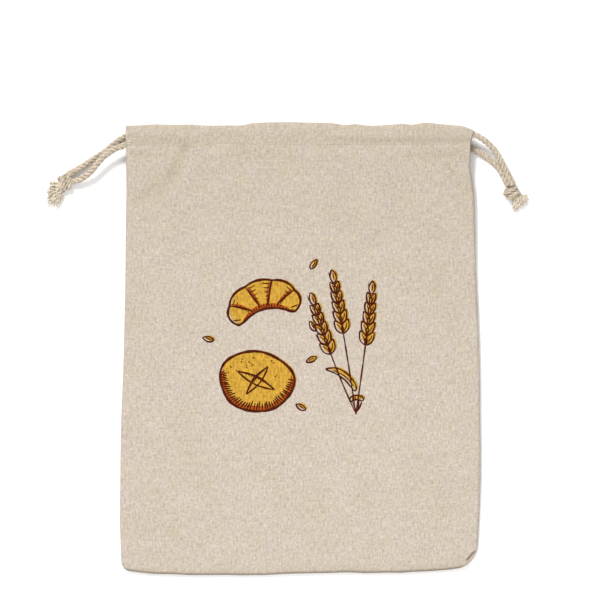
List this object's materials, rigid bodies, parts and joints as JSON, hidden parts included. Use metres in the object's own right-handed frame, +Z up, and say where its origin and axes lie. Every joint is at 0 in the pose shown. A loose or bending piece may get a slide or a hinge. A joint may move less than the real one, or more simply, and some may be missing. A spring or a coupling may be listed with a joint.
{
  "type": "linen bread bag",
  "caption": "Flat linen drawstring bread bag with a drawcord tunnel at the mouth, knotted twisted cords at both sides and a bakery print.",
  "frame": {"origin": "centre of the bag's bounding box at the underside that it lies on, measured without the free cord ends and knots", "axes": "+X across the bag to the right, +Y up the bag towards its mouth, +Z up out of the printed front"},
  "size_m": [0.4026, 0.3773, 0.0198],
  "materials": {
    "linen": "plain-woven unbleached linen and cotton, matt, with slubs",
    "cord": "twisted 3-ply natural cotton cord, matt",
    "print": "golden and brown screen-print ink soaked into the weave",
    "thread": "cotton sewing thread in the linen's colour"
  },
  "bodies": {
    "root": {"front_panel": "linen", "back_panel": "linen", "cord_left_front": "cord", "cord_left_back": "cord", "cord_right_front": "cord", "cord_right_back": "cord", "drawcord_left": "cord", "drawcord_right": "cord", "knot_left": "cord", "knot_right": "cord"}
  },
  "joints": []
}
